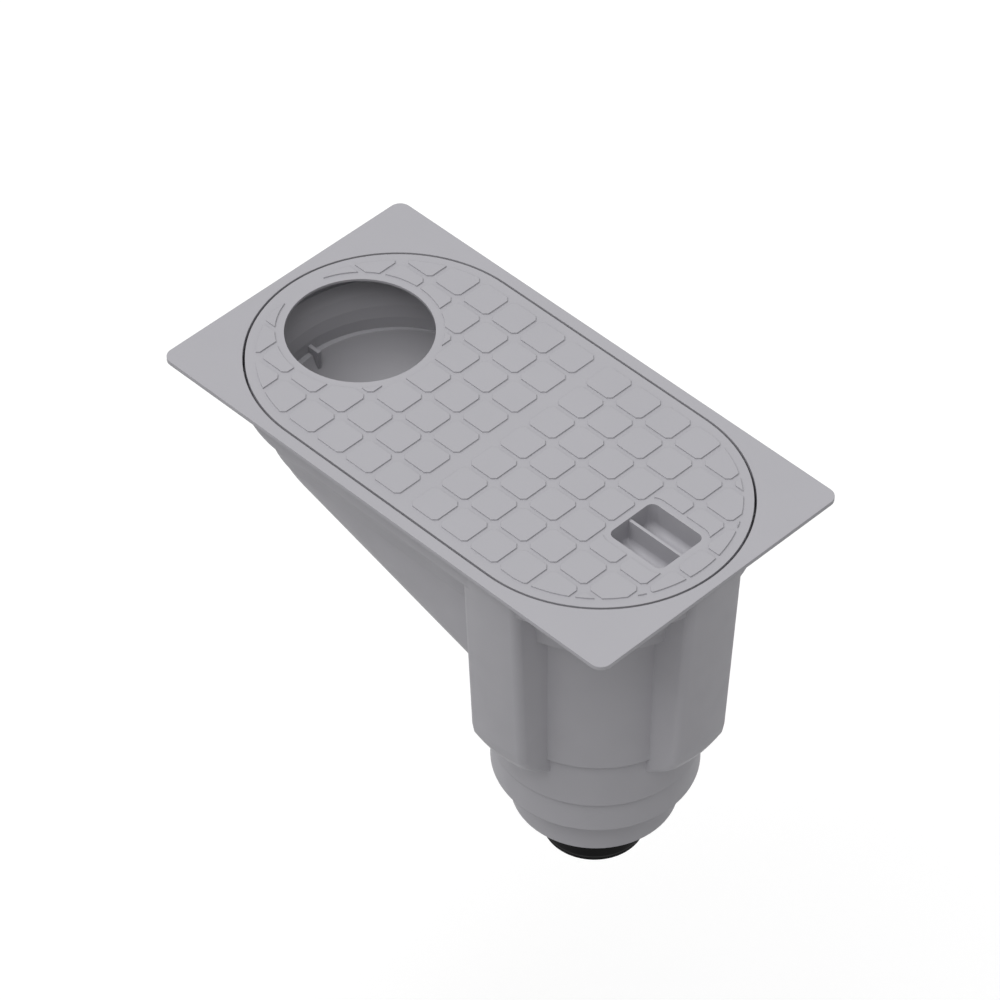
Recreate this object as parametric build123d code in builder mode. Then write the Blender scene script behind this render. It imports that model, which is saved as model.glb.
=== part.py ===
"""Rainwater gully for a downpipe: a moulded body that is set flush in paving,
with a lift-out lid, a leaf basket and a dry odour trap with a sprung flap.

The origin is on the chamber's axis, at the shoulder of the drain spigot.
+X points from the downpipe inlet towards the chamber, +Z is up, and the
paving is level with the top of the flange. Lengths are in millimetres.
"""
from build123d import *
from math import acos, atan2, cos, degrees, hypot, radians, sin, tan
import os

# Levels, as depths below the paving
paving_level = 262.5      # height of the paving above the origin
flange_thickness = 3.4
seat_depth = 19.0         # the ledge that the lid stands on
shoulder_end = 60.0       # where the lid well has narrowed to the hopper
lobe_end = 185.0          # lower end of the chamber's lobes
recess_end = 190.5        # lower end of the faces between the lobes
collar_top = 207.0
collar_step = 234.0
spigot_shoulder = 262.5
spigot_end = 300.8
tube_end = 334.3

# Plan sizes
flange_length = 441.0
flange_width = 240.0
flange_corner = 9.0
flange_centre = -104.0    # the flange's middle, along X
lid_spacing = 203.5       # between the centres of the lid's two round ends
lid_radius = 108.8
lid_gap = 1.8             # between the lid and its well
seat_width = 6.6          # ledge inside the well
wall = 3.0
well_wall = 2.8

# Hopper
hopper_radius = 94.5
hopper_draft = 0.8        # degrees
shoulder_steps = 4        # bands of the curve from the well in to the hopper
shoulder_lip = 0.5        # how far the last band stands out from the hopper's face
floor_fall = 17.0         # degrees, towards the chamber
floor_depth = 136.6       # below the flange's middle
floor_rounding = 52.0
pipe_stop_length = 10.0
pipe_stop_thickness = 3.2
pipe_stop_depth = 51.0
pipe_stop_height = 42.0

# Chamber
lobe_radius_top = 115.5
lobe_radius_end = 106.0
lobe_half_width = 26.5
core_radius_top = 84.5
core_radius_end = 82.5
lobe_edge = 6.0
lobe_rounding = 14.0
collar_radius = 79.5
lower_collar_radius = 77.3
spigot_radius = 62.5
spigot_chamfer = 2.0

# Lid
lid_thickness = 2.2
lid_rim_wall = 2.6
inlet_radius = 55.0
inlet_offset = -139.2     # from the lid's middle, along X
inlet_border = 6.7
pad_height = 1.2
pad_size = 25.2
pad_pitch = 29.1
pad_corner = 3.0          # cut off each corner
pad_rows = 7
pad_columns = 7           # on each side of the plain strip
pads_left = -10.6         # innermost column on the inlet's side
pads_right = 26.9         # innermost column on the grip's side
lid_border = 7.7
grip_offset = 157.3
grip_length = 50.6
grip_width = 44.9
grip_corner = 5.6
grip_depth = 22.0
grip_rounding = 5.0
grip_wall = 2.4
grip_bar = 2.4
grip_bar_drop = 2.0
grip_border = 5.8
latch_offset = 8.2
latch_length = 12.0
latch_thickness = 2.4
latch_setback = 6.4       # from the ledge's inner edge to the latch's back
latch_reach = 4.2
latch_top = 30.0          # depth of the barb's catching face
latch_height = 4.0
window_clearance = 1.0
web_thickness = 2.2
web_height = 9.0

# Leaf basket
basket_gap = 0.8          # around the basket's rim
basket_rim = 3.0
basket_top_radius = 73.6
basket_foot_radius = 66.0
basket_wall = 2.2
basket_height = 58.0
basket_slots = 24
basket_slot_width = 5.0
basket_slot_margin = 8.0
floor_slots = 12
floor_slot_start = 16.0   # from the basket's axis
floor_slot_length = 40.0
bail_radius = 74.6
bail_section = 4.6
bail_chamfer = 1.2
bail_lift = 2.6           # pivot above the rim
bail_pin = 1.6
bail_clearance = 0.08     # round the pins
ear_gap = 0.4             # between the bail and its ears
ear_thickness = 3.0
ear_width = 10.0

# Odour trap
trap_wall = 3.0
trap_flange_radius = 73.4
trap_rim_height = 7.0
seal_thickness = 2.0
trap_seal_inset = 0.7
funnel_mouth = 57.5
funnel_end = 286.0
tube_radius = 39.2
flap_gap = 0.1
flap_thickness = 2.6
flap_seal_thickness = 1.6
flap_seal_width = 6.0
flap_inset = 0.6          # flap's edge inside the tube's
pin_radius = 1.5
pin_clearance = 0.06
pin_overhang = 0.5
hinge_offset = 46.0       # from the tube's axis
hinge_rise = 1.5          # above the tube's lower end
hinge_wall = 2.0          # round the pin
hinge_width = 12.0        # between the cheeks
hinge_cheek = 2.6
hinge_play = 0.5          # between a cheek and the flap
cheek_height = 16.0
spring_wire = 0.8         # side of the square wire
spring_room = 0.25        # between the coil and the pin
spring_pitch = 0.95
spring_turns = 4
spring_slot = 6.0         # width of the flap's slot for the coil
spring_slot_reach = 7.2   # end of the slot, from the pin
flap_catch = (9.0, -7.3)  # tip of the spring's lower leg, from the pin
tube_catch_rise = 14.0    # tip of the upper leg, above the pin

os.makedirs("parts", exist_ok=True)


def level(depth):
    """Height above the origin of a depth below the paving."""
    return paving_level - depth


def write(builder, name):
    builder.part.label = name
    export_step(builder.part, f"parts/{name}.step")


well_radius = lid_radius + lid_gap
neck_radius = well_radius - seat_width + wall
seat_bottom = seat_depth + wall
lid_middle = (flange_centre, 0)


def stadium(radius, depth):
    """Sketch of the lid's outline, grown or shrunk to a radius, at a depth."""
    with BuildSketch(Plane.XY.offset(level(depth))) as outline:
        with Locations(lid_middle):
            SlotCenterToCenter(lid_spacing, 2 * radius)
    return outline.sketch


def trunk(inset):
    """The hopper under the shoulder: a drafted scoop with a sloping, rounded floor."""
    with BuildPart() as scoop:
        top_depth = seat_bottom - inset
        add(stadium(hopper_radius - inset, top_depth))
        extrude(amount=-(spigot_end - top_depth), taper=hopper_draft)
        floor_point = (flange_centre, 0, level(floor_depth - inset / cos(radians(floor_fall))))
        floor = Plane(
            origin=floor_point,
            x_dir=(cos(radians(floor_fall)), 0, -sin(radians(floor_fall))),
            z_dir=(sin(radians(floor_fall)), 0, cos(radians(floor_fall))),
        )
        split(bisect_by=floor, keep=Keep.TOP)
        lowest = scoop.faces().sort_by(Axis.Z)[0]
        fillet(lowest.edges(), radius=floor_rounding - inset)
        split(bisect_by=Plane.YZ, keep=Keep.BOTTOM)
    return scoop.part


def lobe_profile(inset):
    """Radius and depth down a lobe's outside, rounded where it turns in to the collar."""
    top = seat_bottom if inset else flange_thickness
    slope = (lobe_radius_top - lobe_radius_end) / (lobe_end - flange_thickness)
    head = Vector(lobe_radius_top - slope * (top - flange_thickness) - inset, top)
    corner = Vector(lobe_radius_end - inset, lobe_end - inset)
    foot = Vector(collar_radius - inset, collar_top - inset)
    start = corner + (head - corner).normalized() * lobe_rounding
    end = corner + (foot - corner).normalized() * lobe_rounding
    bend = [
        start * (1 - t) ** 2 + corner * (2 * t * (1 - t)) + end * t**2
        for t in (0, 1 / 3, 2 / 3, 1)
    ]
    return [(point.X, point.Y) for point in (head, *bend, foot)]


def chamber(inset):
    """The round chamber with its four drafted lobes, solid, shrunk by an inset."""
    top = seat_bottom if inset else flange_thickness
    with BuildPart() as lobe:
        for radius, depth in lobe_profile(inset):
            with BuildSketch(Plane.XY.offset(level(depth))) as section:
                Circle(radius)
                with Locations((core_radius_end / 2, 0)):
                    Rectangle(
                        radius,
                        2 * (lobe_half_width - inset),
                        align=(Align.MIN, Align.CENTER),
                        mode=Mode.INTERSECT,
                    )
                fillet(section.vertices().group_by(Axis.X)[-1], radius=lobe_edge - inset)
        loft(ruled=True)
    with BuildPart() as room:
        with PolarLocations(0, 4):
            add(lobe.part)
        with BuildSketch(Plane.XZ):
            with BuildLine():
                Polyline(
                    (0, level(top)),
                    (core_radius_top - inset, level(top)),
                    (core_radius_end - inset, level(recess_end - inset)),
                    (collar_radius - inset, level(recess_end - inset)),
                    (collar_radius - inset, level(collar_step)),
                    (lower_collar_radius - inset, level(collar_step)),
                    (lower_collar_radius - inset, level(spigot_shoulder - inset)),
                    (0, level(spigot_shoulder - inset)),
                    close=True,
                )
            make_face()
        revolve(axis=Axis.Z)
    return room.part


def shoulder(inset):
    """From the lid's well in to the hopper, solid, shrunk by an inset."""
    height = shoulder_end - seat_bottom
    end_radius = hopper_radius - height * tan(radians(hopper_draft)) + shoulder_lip
    with BuildPart() as curve:
        for step in range(shoulder_steps + 1):
            t = step / shoulder_steps
            radius = end_radius + (neck_radius - end_radius) * (1 - t) ** 2
            add(stadium(radius - inset, seat_bottom - inset + t * height))
        loft(ruled=True)
    return curve.part


well_outline = stadium(well_radius, seat_depth)
well_shell = stadium(well_radius + well_wall, seat_bottom)
shoulder_shell, shoulder_room = shoulder(0), shoulder(wall)
trunk_shell, trunk_room = trunk(0), trunk(wall)
chamber_shell, chamber_room = chamber(0), chamber(wall)

# Rib that stops the downpipe, on the hopper's end wall
stop_root = flange_centre - lid_spacing / 2 - hopper_radius
with BuildPart() as pipe_stop:
    with BuildSketch(Plane.XY.offset(level(pipe_stop_depth))):
        with Locations((stop_root, 0)):
            Rectangle(
                pipe_stop_length + wall,
                pipe_stop_thickness,
                align=(Align.MIN, Align.CENTER),
            )
    extrude(amount=-pipe_stop_height)
    add(trunk_shell, mode=Mode.INTERSECT)

# One moulding: flange, lid well, hopper, chamber and stepped spigot
with BuildPart() as gully_body:
    with BuildSketch(Plane.XY.offset(level(flange_thickness))):
        with Locations(lid_middle):
            RectangleRounded(flange_length, flange_width, flange_corner)
    extrude(amount=flange_thickness)
    add(well_shell)
    extrude(amount=seat_bottom - flange_thickness / 2)
    add(shoulder_shell)
    add(trunk_shell)
    add(chamber_shell)
    with BuildSketch(Plane.XY.offset(level(spigot_end))):
        Circle(spigot_radius)
    extrude(amount=spigot_end - spigot_shoulder)
    rim = gully_body.edges().filter_by(GeomType.CIRCLE).sort_by(Axis.Z)[0]
    chamfer(rim, length=spigot_chamfer)

    add(well_outline)
    extrude(amount=seat_depth + 1, mode=Mode.SUBTRACT)
    add(shoulder_room, mode=Mode.SUBTRACT)
    add(trunk_room, mode=Mode.SUBTRACT)
    add(chamber_room, mode=Mode.SUBTRACT)
    with BuildSketch(Plane.XY.offset(level(spigot_end))):
        Circle(spigot_radius - wall)
    extrude(amount=spigot_end - spigot_shoulder + 2 * wall, mode=Mode.SUBTRACT)

    add(pipe_stop.part)

    # Windows that the lid's barbs catch in
    for side in (1, -1):
        with BuildSketch(Plane.XY.offset(level(latch_top - window_clearance / 2))):
            with Locations((flange_centre + latch_offset, side * neck_radius)):
                Rectangle(latch_length + 2 * window_clearance, 8 * wall)
        extrude(amount=-(latch_height + 2 * window_clearance), mode=Mode.SUBTRACT)

write(gully_body, "gully_body")


# Lid: one moulding with pads, pipe hole, grip and two snap barbs
with BuildSketch() as pad:
    Rectangle(pad_size, pad_size)
    chamfer(pad.vertices(), length=pad_corner)
grip_centre = (flange_centre + grip_offset, 0)
inlet_centre = (flange_centre + inlet_offset, 0)
plate_outline = stadium(lid_radius, lid_thickness)
rim_outline = stadium(lid_radius, seat_depth)
rim_core = stadium(lid_radius - lid_rim_wall, seat_depth)
with BuildPart() as lid:
    add(plate_outline)
    extrude(amount=lid_thickness)
    add(rim_outline - rim_core)
    extrude(amount=seat_depth - lid_thickness / 2)

    # Stiffening webs under the plate, either side of the plain strip
    with BuildSketch(Plane.XY.offset(level(lid_thickness / 2))):
        for web_offset in (pads_left, pads_right):
            with Locations((flange_centre + web_offset, 0)):
                Rectangle(web_thickness, 2 * (lid_radius - lid_rim_wall / 2))
    extrude(amount=-web_height)

    # Grip cup
    with BuildSketch(Plane.XY.offset(level(grip_depth + grip_wall))):
        with Locations(grip_centre):
            RectangleRounded(
                grip_length + 2 * grip_wall, grip_width + 2 * grip_wall, grip_corner + grip_wall
            )
    extrude(amount=grip_depth + grip_wall - lid_thickness / 2)

    # Raised pads, left out round the hole, the grip and the border
    with BuildSketch(Plane.XY.offset(level(0))):
        for first, step in ((pads_left, -1), (pads_right, 1)):
            middle = first + step * pad_pitch * (pad_columns - 1) / 2
            with Locations((flange_centre + middle, 0)):
                with GridLocations(pad_pitch, pad_pitch, pad_columns, pad_rows):
                    add(pad.sketch)
        with Locations(lid_middle):
            SlotCenterToCenter(lid_spacing, 2 * (lid_radius - lid_border), mode=Mode.INTERSECT)
        with Locations(inlet_centre):
            Circle(inlet_radius + inlet_border, mode=Mode.SUBTRACT)
        with Locations(grip_centre):
            RectangleRounded(
                grip_length + 2 * grip_border,
                grip_width + 2 * grip_border,
                grip_corner + grip_border,
                mode=Mode.SUBTRACT,
            )
    extrude(amount=pad_height)

    with Locations((*inlet_centre, level(0))):
        Hole(inlet_radius, depth=4 * lid_thickness)

# Hollows either side of the grip's bar, and the drop above the bar
with BuildPart() as grip_pockets:
    with BuildSketch(Plane.XY.offset(level(grip_depth))):
        with Locations(grip_centre):
            RectangleRounded(grip_length, grip_width, grip_corner)
            Rectangle(2 * grip_length, grip_bar, mode=Mode.SUBTRACT)
    extrude(amount=grip_depth + pad_height)
    fillet(grip_pockets.faces().sort_by(Axis.Z)[0:2].edges(), radius=grip_rounding)
with BuildPart() as bar_gap:
    with BuildSketch(Plane.XY.offset(level(grip_bar_drop))):
        with Locations(grip_centre):
            Rectangle(grip_length, 2 * grip_bar)
    extrude(amount=grip_bar_drop + pad_height)

# Snap barbs that hook under the windows' upper edges
barb_root = neck_radius - wall - latch_setback
with BuildPart() as barb:
    with BuildSketch(Plane.YZ.offset(flange_centre + latch_offset - latch_length / 2)):
        with BuildLine():
            Polyline(
                (barb_root - latch_thickness, level(lid_thickness / 2)),
                (barb_root, level(lid_thickness / 2)),
                (barb_root, level(latch_top)),
                (barb_root + latch_reach, level(latch_top)),
                (barb_root, level(latch_top + latch_height)),
                (barb_root - latch_thickness, level(latch_top + latch_height)),
                close=True,
            )
        make_face()
    extrude(amount=latch_length)
    mirror(about=Plane.XZ)

with BuildPart() as finished_lid:
    add(lid.part)
    add(grip_pockets.part, mode=Mode.SUBTRACT)
    add(bar_gap.part, mode=Mode.SUBTRACT)
    add(barb.part)
write(finished_lid, "lid")


# Leaf basket, hung by its rim on the ledge under the lobes
basket_level = level(recess_end - wall)
basket_rim_radius = core_radius_end - wall - basket_gap
with BuildPart() as leaf_basket:
    with BuildSketch(Plane.XZ):
        with BuildLine():
            Polyline(
                (0, basket_level - basket_height),
                (basket_foot_radius, basket_level - basket_height),
                (basket_top_radius, basket_level),
                (basket_rim_radius, basket_level),
                (basket_rim_radius, basket_level + basket_rim),
                (basket_top_radius - basket_wall, basket_level + basket_rim),
                (basket_foot_radius - basket_wall, basket_level - basket_height + basket_wall),
                (0, basket_level - basket_height + basket_wall),
                close=True,
            )
        make_face()
    revolve(axis=Axis.Z)
    slot_height = basket_height - 2 * basket_slot_margin
    with Locations((0, 0, basket_level - basket_height / 2)):
        with PolarLocations(0, basket_slots):
            Box(
                basket_rim_radius,
                basket_slot_width,
                slot_height,
                align=(Align.MIN, Align.CENTER, Align.CENTER),
                mode=Mode.SUBTRACT,
            )
    with Locations((0, 0, basket_level - basket_height)):
        with PolarLocations(floor_slot_start, floor_slots):
            Box(
                floor_slot_length,
                basket_slot_width,
                4 * basket_wall,
                align=(Align.MIN, Align.CENTER, Align.CENTER),
                mode=Mode.SUBTRACT,
            )

    # Ears for the bail, inside the rim
    ear_face = bail_radius - bail_section / 2 - ear_gap
    for side in (1, -1):
        with BuildSketch(Plane.XZ.offset(-side * ear_face)):
            with Locations((0, basket_level + basket_rim + bail_lift)):
                Circle(ear_width / 2)
            with Locations((0, basket_level + basket_rim)):
                Rectangle(ear_width, 2 * bail_lift)
            with Locations((0, basket_level + basket_rim + bail_lift)):
                Circle(bail_pin + bail_clearance, mode=Mode.SUBTRACT)
        extrude(amount=side * ear_thickness)
write(leaf_basket, "leaf_basket")

# Bail of the basket, lying towards +X at rest
bail_level = basket_level + basket_rim + bail_lift
bail_inside = bail_radius - bail_section / 2
with BuildPart() as basket_bail:
    with BuildSketch(Plane.XY.offset(bail_level - bail_section / 2)):
        Circle(bail_inside + bail_section)
        Circle(bail_inside, mode=Mode.SUBTRACT)
        with Locations((-bail_radius, 0)):
            Rectangle(2 * bail_radius, 3 * bail_radius, mode=Mode.SUBTRACT)
    extrude(amount=bail_section)
    chamfer(basket_bail.edges().filter_by(GeomType.CIRCLE), length=bail_chamfer)
    for side in (1, -1):
        with Locations((0, side * bail_radius, bail_level)):
            Cylinder(bail_section / 2, bail_section, rotation=(90, 0, 0))
        with BuildSketch(Plane.XZ.offset(-side * bail_radius)):
            with Locations((0, bail_level)):
                Circle(bail_pin)
        extrude(amount=side * (bail_radius - ear_face + ear_thickness + ear_gap))
write(basket_bail, "basket_bail")


# Odour trap: a funnel whose tube hangs down through the spigot
trap_floor = level(spigot_shoulder - wall) + seal_thickness
tube_bottom = level(tube_end)
bore = tube_radius - trap_wall
hinge_x = -hinge_offset
hinge_z = tube_bottom + hinge_rise
with BuildPart() as trap_insert:
    with BuildSketch(Plane.XZ):
        with BuildLine():
            Polyline(
                (bore, tube_bottom),
                (tube_radius, tube_bottom),
                (tube_radius, level(funnel_end)),
                (funnel_mouth, trap_floor - trap_wall),
                (funnel_mouth, trap_floor),
                (trap_flange_radius, trap_floor),
                (trap_flange_radius, trap_floor + trap_rim_height),
                (trap_flange_radius - trap_wall, trap_floor + trap_rim_height),
                (trap_flange_radius - trap_wall, trap_floor + trap_wall),
                (funnel_mouth - trap_wall, trap_floor + trap_wall),
                (funnel_mouth - trap_wall, trap_floor - trap_wall / 2),
                (bore, level(funnel_end) - trap_wall / 2),
                close=True,
            )
        make_face()
    revolve(axis=Axis.Z)

    # Two cheeks that carry the flap's pin
    barrel = pin_radius + hinge_wall
    root_x = -bore - trap_wall / 2
    for side in (1, -1):
        with BuildSketch(Plane.XZ.offset(-side * hinge_width / 2)):
            with Locations((hinge_x, hinge_z)):
                Circle(barrel)
            with BuildLine():
                Polyline(
                    (hinge_x, hinge_z - barrel),
                    (root_x, tube_bottom + hinge_rise / 2),
                    (root_x, hinge_z + cheek_height),
                    (-tube_radius, hinge_z + cheek_height),
                    (hinge_x, hinge_z + barrel),
                    close=True,
                )
            make_face()
            with Locations((hinge_x, hinge_z)):
                Circle(pin_radius, mode=Mode.SUBTRACT)
        extrude(amount=-side * hinge_cheek)
write(trap_insert, "trap_insert")

# Rubber ring between the trap's flange and the body's floor
with BuildPart() as trap_seal:
    with BuildSketch(Plane.XY.offset(level(spigot_shoulder - wall))):
        Circle(trap_flange_radius - trap_seal_inset)
        Circle(spigot_radius - wall + trap_seal_inset, mode=Mode.SUBTRACT)
    extrude(amount=seal_thickness)
write(trap_seal, "trap_seal")

# Flap: a disc with a slotted arm and two knuckles on the pin
flap_top = tube_bottom - flap_gap - flap_seal_thickness
flap_bottom = flap_top - flap_thickness
flap_radius = tube_radius - flap_inset
knuckle_width = hinge_width - 2 * hinge_play
with BuildPart() as flap:
    with BuildSketch(Plane.XY.offset(flap_bottom)):
        Circle(flap_radius)
        with Locations((hinge_x, 0)):
            Rectangle(hinge_offset, knuckle_width, align=(Align.MIN, Align.CENTER))
    extrude(amount=flap_thickness)
    with BuildSketch(Plane.XZ.offset(-knuckle_width / 2)):
        with Locations((hinge_x, hinge_z)):
            Circle(barrel)
        with BuildLine():
            Polyline(
                (hinge_x - barrel, hinge_z),
                (hinge_x - barrel, flap_top),
                (hinge_x, flap_bottom),
                (hinge_x + barrel, flap_bottom),
                (hinge_x + barrel, hinge_z),
                close=True,
            )
        make_face()
    extrude(amount=knuckle_width)
    with BuildSketch(Plane.XZ.offset(-knuckle_width / 2)):
        with Locations((hinge_x, hinge_z)):
            Circle(pin_radius + pin_clearance)
    extrude(amount=knuckle_width, mode=Mode.SUBTRACT)
    with Locations((hinge_x + spring_slot_reach, 0, hinge_z)):
        Box(
            spring_slot_reach + 2 * barrel,
            spring_slot,
            4 * barrel,
            align=(Align.MAX, Align.CENTER, Align.CENTER),
            mode=Mode.SUBTRACT,
        )
write(flap, "flap")

with BuildPart() as flap_seal:
    with BuildSketch(Plane.XY.offset(flap_top)):
        Circle(flap_radius)
        Circle(flap_radius - flap_seal_width, mode=Mode.SUBTRACT)
    extrude(amount=flap_seal_thickness)
write(flap_seal, "flap_seal")

with BuildPart() as flap_pin:
    with Locations((hinge_x, 0, hinge_z)):
        Cylinder(
            pin_radius, hinge_width + 2 * hinge_cheek + 2 * pin_overhang, rotation=(90, 0, 0)
        )
    chamfer(flap_pin.edges().filter_by(GeomType.CIRCLE), length=pin_overhang / 2)
write(flap_pin, "flap_pin")

# Torsion spring: the lower leg hooks under the flap, the upper one leans on the tube
coil_radius = pin_radius + spring_room + spring_wire / 2
tube_catch = (hinge_offset - tube_radius - spring_wire / 2, tube_catch_rise)


def leg(tip):
    """Of a straight leg from the coil to its tip: length, bearing and the angle it spans."""
    reach = hypot(*tip)
    length = (reach**2 - coil_radius**2) ** 0.5
    return length, degrees(atan2(tip[1], tip[0])), degrees(acos(coil_radius / reach))


def wire_plane(path, place, way):
    """Plane across the wire at a place on its path, square to the coil's radius."""
    point = path @ place
    radial = Vector(point.X - hinge_x, 0, point.Z - hinge_z)
    return Plane(origin=point, x_dir=radial, z_dir=(path % place) * way)


lower_length, lower_bearing, lower_span = leg(flap_catch)
upper_length, upper_bearing, upper_span = leg(tube_catch)
coil_start = radians(lower_bearing - lower_span)
coil_turns = spring_turns + (lower_bearing - lower_span - upper_bearing - upper_span) % 360 / 360
coil_length = spring_pitch * coil_turns
coil_plane = Plane(
    origin=(hinge_x, coil_length / 2, hinge_z),
    x_dir=(cos(coil_start), 0, sin(coil_start)),
    z_dir=(0, -1, 0),
)
with BuildPart() as flap_spring:
    with BuildLine() as coil:
        Helix(spring_pitch, coil_length, coil_radius, lefthand=True)
    path = coil_plane.from_local_coords(coil.edges()[0])
    with BuildSketch(wire_plane(path, 0, 1)):
        Rectangle(spring_wire, spring_wire)
    sweep(path=path, is_frenet=True)
    for end, way, length in ((0, -1, lower_length), (1, 1, upper_length)):
        with BuildSketch(wire_plane(path, end, way)):
            Rectangle(spring_wire, spring_wire)
        extrude(amount=length)
write(flap_spring, "flap_spring")
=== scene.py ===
"""Looks of the rainwater gully: moulded plastics, rubber and steel, with the
photograph's camera, a pale floor and soft light. Lengths are in metres."""
import math

import bpy
from mathutils import Matrix, Vector


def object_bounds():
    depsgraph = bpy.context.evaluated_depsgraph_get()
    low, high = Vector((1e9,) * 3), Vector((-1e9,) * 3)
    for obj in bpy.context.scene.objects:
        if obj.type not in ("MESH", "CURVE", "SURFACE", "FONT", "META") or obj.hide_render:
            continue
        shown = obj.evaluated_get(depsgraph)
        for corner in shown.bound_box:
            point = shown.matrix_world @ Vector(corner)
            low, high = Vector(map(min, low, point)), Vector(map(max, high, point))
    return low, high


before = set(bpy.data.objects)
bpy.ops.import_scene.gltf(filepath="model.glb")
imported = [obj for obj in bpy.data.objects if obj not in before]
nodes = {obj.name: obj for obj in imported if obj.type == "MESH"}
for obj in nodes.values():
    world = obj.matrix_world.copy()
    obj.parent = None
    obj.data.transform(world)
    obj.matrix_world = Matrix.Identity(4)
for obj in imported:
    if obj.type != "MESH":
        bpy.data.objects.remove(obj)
cad_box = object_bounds()

# Colours, linear
GREY = (0.440, 0.434, 0.462)
GREY_SHADE = (0.415, 0.410, 0.436)
BASKET_BLACK = (0.030, 0.030, 0.033)
BASKET_SHADE = (0.024, 0.024, 0.026)
TRAP_BLACK = (0.0055, 0.0055, 0.006)
TRAP_SHADE = (0.0045, 0.0045, 0.005)
RUBBER_BLACK = (0.014, 0.014, 0.0145)
STEEL = (0.56, 0.57, 0.58)

# Noise: the band that most of its values lie in, and its scales per metre
NOISE_LOW = 0.3
NOISE_HIGH = 0.7
COLOUR_PATCHES = 14.0
GLOSS_PATCHES = 55.0
SINK_MARKS = 22.0
PLASTIC_GRAIN = 2600.0
RUBBER_BLOOM = 60.0
RUBBER_GRAIN = 1800.0
DRAW_LINES = 3000.0

# Depths of relief
SINK_DEPTH = 0.00025
GRAIN_DEPTH = 0.00002
DRAW_DEPTH = 0.000004

# Gloss
BODY_ROUGHNESS = 0.55
LID_ROUGHNESS = 0.52
BLACK_ROUGHNESS = 0.5     # basket and trap
GLOSS_SPREAD = 0.05
PLASTIC_IOR = 1.49
PLASTIC_SHINE = 0.35
TRAP_SHINE = 0.05
RUBBER_DUST = 2.2         # dusty rubber against clean
RUBBER_ROUGHNESS = 0.82
RUBBER_SHINE = 0.3
STEEL_GLOSS = (0.22, 0.42)
DRAW_STRETCH = 0.06       # scale along a draw line as a share of that across it

# Edges, by the radius that they look rounded to
BODY_EDGE = 0.0009
THIN_EDGE = 0.0005        # lid and basket
TRAP_EDGE = 0.0004
EDGE_SAMPLES = 6
SMOOTH_ANGLE = 32.0       # degrees, above which an edge stays sharp

# Camera, from the photograph
AZIMUTH = 44.8118
ELEVATION = 44.662
ROLL = 0.2291
TARGET = Vector((-0.0483, -0.05184, 0.2625))
DISTANCE = 3.6315
LENS = 186.97
SENSOR = 36.0
CLIP_END = 200.0

# Light, where 1 shows a colour as it is written
SKY = 0.4
SUN = 0.62
SUN_AZIMUTH = -14.0
SUN_HEIGHT = 70.0
SUN_SPREAD = 60.0
SUN_PLACE = Vector((0, 0, 2))

# Floor
FLOOR_BOUNCE = 0.4        # what it gives back to the gully
FLOOR_GLOW = 0.09         # what lifts it to white in the picture
FLOOR_SIZE = 60.0
FLOOR_DROP = 0.6          # below the gully's lowest point


def link(tree, source, target):
    tree.links.new(source, target)


def add_node(tree, kind, **values):
    """A shader node with its sockets set by name, where underscores stand for spaces."""
    node = tree.nodes.new(kind)
    for key, value in values.items():
        node.inputs[key.replace("_", " ")].default_value = value
    return node


def new_material(name):
    """A material with its node tree and its main shader."""
    material = bpy.data.materials.new(name)
    material.use_nodes = True
    tree = material.node_tree
    return material, tree, tree.nodes["Principled BSDF"]


def place(tree):
    """Coordinates fixed to the piece, in metres."""
    return tree.nodes.new("ShaderNodeTexCoord").outputs["Object"]


def noise(tree, scale, detail=4.0):
    node = add_node(tree, "ShaderNodeTexNoise", Scale=scale, Detail=detail)
    link(tree, place(tree), node.inputs["Vector"])
    return node.outputs["Fac"]


def between(tree, factor, low, high):
    """A value that runs from low to high as a noise runs through its band."""
    node = add_node(tree, "ShaderNodeMapRange", To_Min=low, To_Max=high)
    node.inputs["From Min"].default_value = NOISE_LOW
    node.inputs["From Max"].default_value = NOISE_HIGH
    link(tree, factor, node.inputs["Value"])
    return node.outputs["Result"]


def blend_colours(tree, factor, first, second):
    """The first colour where the factor is 0, and the second where it is 1."""
    node = tree.nodes.new("ShaderNodeMix")
    node.data_type = "RGBA"
    link(tree, factor, node.inputs["Factor"])
    node.inputs["A"].default_value = (*first, 1)
    node.inputs["B"].default_value = (*second, 1)
    return node.outputs["Result"]


def relief(tree, height, depth, normal=None):
    """A normal bent by a height, on top of another normal where one is given."""
    node = add_node(tree, "ShaderNodeBump", Strength=1.0, Distance=depth)
    link(tree, height, node.inputs["Height"])
    if normal:
        link(tree, normal, node.inputs["Normal"])
    return node.outputs["Normal"]


def rounded_edges(tree, radius):
    node = add_node(tree, "ShaderNodeBevel", Radius=radius)
    node.samples = EDGE_SAMPLES
    return node.outputs["Normal"]


def moulded_plastic(name, colour, shade, roughness, edge, shine=PLASTIC_SHINE):
    """Injection moulded plastic: soft edges, spark-eroded grain and slow sink marks."""
    material, tree, shader = new_material(name)
    tint = blend_colours(tree, noise(tree, COLOUR_PATCHES), colour, shade)
    link(tree, tint, shader.inputs["Base Color"])
    patches = noise(tree, GLOSS_PATCHES)
    gloss = between(tree, patches, roughness - GLOSS_SPREAD, roughness + GLOSS_SPREAD)
    link(tree, gloss, shader.inputs["Roughness"])
    soft = rounded_edges(tree, edge)
    sink = relief(tree, noise(tree, SINK_MARKS, detail=1.0), SINK_DEPTH, soft)
    grain = relief(tree, noise(tree, PLASTIC_GRAIN, detail=2.0), GRAIN_DEPTH, sink)
    link(tree, grain, shader.inputs["Normal"])
    shader.inputs["IOR"].default_value = PLASTIC_IOR
    shader.inputs["Specular IOR Level"].default_value = shine
    return material


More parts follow.
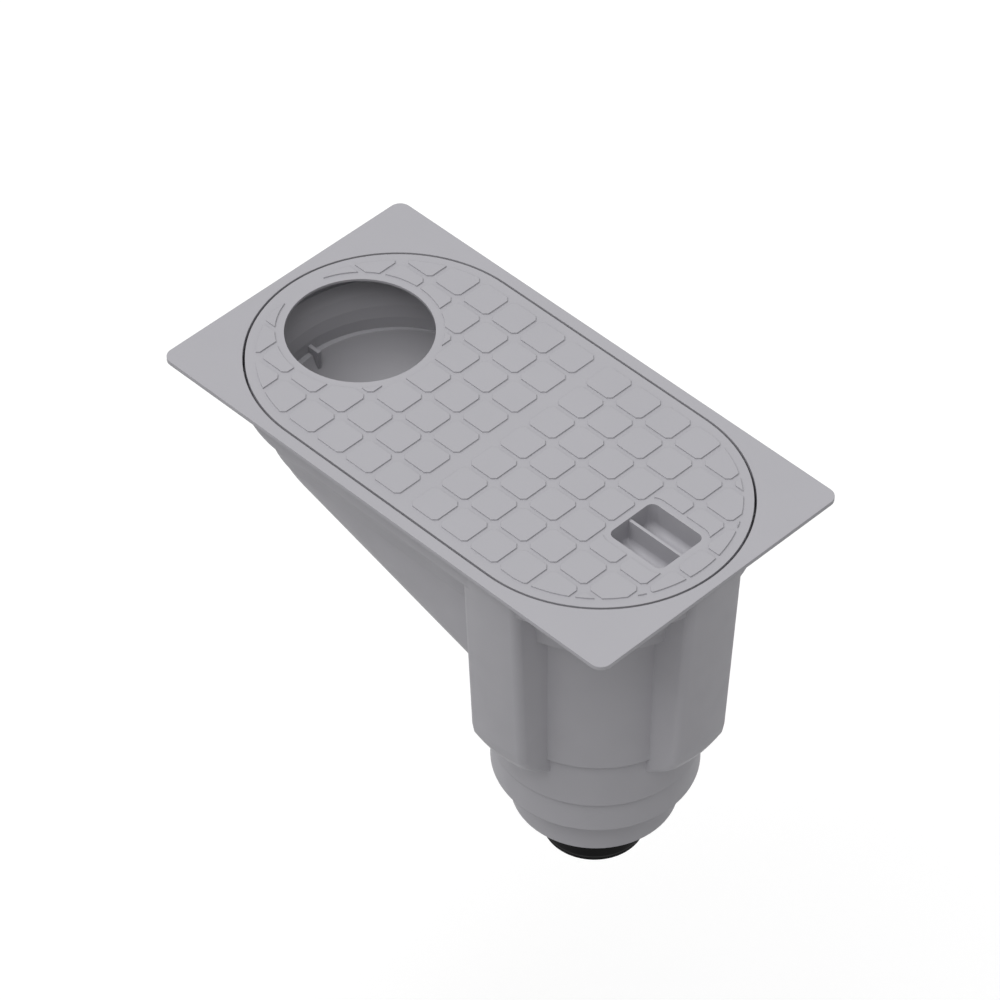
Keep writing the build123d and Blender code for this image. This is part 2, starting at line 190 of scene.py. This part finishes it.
def rubber(name, colour):
    """Matt rubber with a dusty bloom in patches."""
    material, tree, shader = new_material(name)
    dusty = tuple(RUBBER_DUST * part for part in colour)
    tint = blend_colours(tree, noise(tree, RUBBER_BLOOM), colour, dusty)
    link(tree, tint, shader.inputs["Base Color"])
    link(tree, relief(tree, noise(tree, RUBBER_GRAIN), GRAIN_DEPTH), shader.inputs["Normal"])
    shader.inputs["Roughness"].default_value = RUBBER_ROUGHNESS
    shader.inputs["Specular IOR Level"].default_value = RUBBER_SHINE
    return material


def drawn_steel(name, colour):
    """Bright wire and pin, with fine draw lines along Y."""
    material, tree, shader = new_material(name)
    stretch = add_node(tree, "ShaderNodeMapping", Scale=(1.0, DRAW_STRETCH, 1.0))
    link(tree, place(tree), stretch.inputs["Vector"])
    lines = add_node(tree, "ShaderNodeTexNoise", Scale=DRAW_LINES, Detail=3.0)
    link(tree, stretch.outputs["Vector"], lines.inputs["Vector"])
    link(tree, between(tree, lines.outputs["Fac"], *STEEL_GLOSS), shader.inputs["Roughness"])
    link(tree, relief(tree, lines.outputs["Fac"], DRAW_DEPTH), shader.inputs["Normal"])
    shader.inputs["Base Color"].default_value = (*colour, 1)
    shader.inputs["Metallic"].default_value = 1.0
    return material


def dress(material, *names):
    """Gives CAD nodes a material, and smooth shading on their curved faces."""
    for name in names:
        mesh = nodes[name].data
        mesh.materials.clear()
        mesh.materials.append(material)
        mesh.shade_smooth()
        mesh.set_sharp_from_angle(angle=math.radians(SMOOTH_ANGLE))


body_plastic = moulded_plastic("grey_plastic", GREY, GREY_SHADE, BODY_ROUGHNESS, BODY_EDGE)
lid_plastic = moulded_plastic("lid_plastic", GREY, GREY_SHADE, LID_ROUGHNESS, THIN_EDGE)
basket_plastic = moulded_plastic(
    "basket_plastic", BASKET_BLACK, BASKET_SHADE, BLACK_ROUGHNESS, THIN_EDGE
)
trap_plastic = moulded_plastic(
    "trap_plastic", TRAP_BLACK, TRAP_SHADE, BLACK_ROUGHNESS, TRAP_EDGE, TRAP_SHINE
)
dress(body_plastic, "gully_body")
dress(lid_plastic, "lid")
dress(basket_plastic, "leaf_basket", "basket_bail")
dress(trap_plastic, "trap_insert", "flap")
dress(rubber("black_rubber", RUBBER_BLACK), "trap_seal", "flap_seal")
dress(drawn_steel("steel", STEEL), "flap_pin", "flap_spring")


def seen_directly(tree):
    """1 for what the camera, a gloss or a clear piece shows, and 0 for light on surfaces."""
    path = tree.nodes.new("ShaderNodeLightPath")
    total = path.outputs["Is Camera Ray"]
    for ray in ("Is Glossy Ray", "Is Transmission Ray"):
        either = tree.nodes.new("ShaderNodeMath")
        either.operation = "MAXIMUM"
        link(tree, total, either.inputs[0])
        link(tree, path.outputs[ray], either.inputs[1])
        total = either.outputs["Value"]
    return total


def make_floor():
    """A wide pale floor far under the gully, so that its shadow is faint."""
    floor_level = cad_box[0].z - FLOOR_DROP
    half = FLOOR_SIZE / 2
    square = ((-half, -half), (half, -half), (half, half), (-half, half))
    corners = [(x, y, floor_level) for x, y in square]
    mesh = bpy.data.meshes.new("floor")
    mesh.from_pydata(corners, [], [(0, 1, 2, 3)])
    floor = bpy.data.objects.new("floor", mesh)
    bpy.context.scene.collection.objects.link(floor)
    material, tree, shader = new_material("floor")
    bounce = (FLOOR_BOUNCE,) * 3
    white = (1.0,) * 3
    link(tree, blend_colours(tree, seen_directly(tree), bounce, white), shader.inputs["Base Color"])
    glow = add_node(tree, "ShaderNodeMapRange", To_Min=0.0, To_Max=FLOOR_GLOW)
    link(tree, seen_directly(tree), glow.inputs["Value"])
    link(tree, glow.outputs["Result"], shader.inputs["Emission Strength"])
    shader.inputs["Emission Color"].default_value = (1, 1, 1, 1)
    shader.inputs["Roughness"].default_value = 1.0
    shader.inputs["Specular IOR Level"].default_value = 0.0
    mesh.materials.append(material)


def direction(azimuth, elevation):
    """Unit vector towards a viewpoint, where azimuth 0 is on the -Y side."""
    a = math.radians(azimuth)
    e = math.radians(elevation)
    return Vector((math.sin(a) * math.cos(e), -math.cos(a) * math.cos(e), math.sin(e)))


def make_light():
    """Even light from all round and a broad soft sun, high up on the -Y side."""
    world = bpy.data.worlds.new("studio")
    world.use_nodes = True
    tree = world.node_tree
    background = tree.nodes["Background"]
    background.inputs["Color"].default_value = (1, 1, 1, 1)
    strength = add_node(tree, "ShaderNodeMapRange", To_Min=SKY, To_Max=1.0)
    link(tree, seen_directly(tree), strength.inputs["Value"])
    link(tree, strength.outputs["Result"], background.inputs["Strength"])
    bpy.context.scene.world = world

    lamp = bpy.data.lights.new("sun", "SUN")
    lamp.energy = math.pi * SUN
    lamp.angle = math.radians(SUN_SPREAD)
    sun = bpy.data.objects.new("sun", lamp)
    bpy.context.scene.collection.objects.link(sun)
    sun.matrix_world = Matrix.LocRotScale(
        SUN_PLACE, direction(SUN_AZIMUTH, SUN_HEIGHT).to_track_quat("Z", "Y"), None
    )


def make_camera():
    """The photograph's viewpoint: a long lens, far off, turned by a small roll."""
    back = direction(AZIMUTH, ELEVATION)
    right = Vector((math.cos(math.radians(AZIMUTH)), math.sin(math.radians(AZIMUTH)), 0))
    turn = Matrix((right, back.cross(right), back)).transposed()
    turn = turn @ Matrix.Rotation(math.radians(ROLL), 3, "Z")
    data = bpy.data.cameras.new("camera")
    data.lens = LENS
    data.sensor_width = SENSOR
    data.clip_end = CLIP_END
    camera = bpy.data.objects.new("camera", data)
    bpy.context.scene.collection.objects.link(camera)
    camera.matrix_world = Matrix.Translation(TARGET + DISTANCE * back) @ turn.to_4x4()
    bpy.context.scene.camera = camera


make_floor()
make_light()
make_camera()
bpy.context.scene.view_settings.view_transform = "Standard"
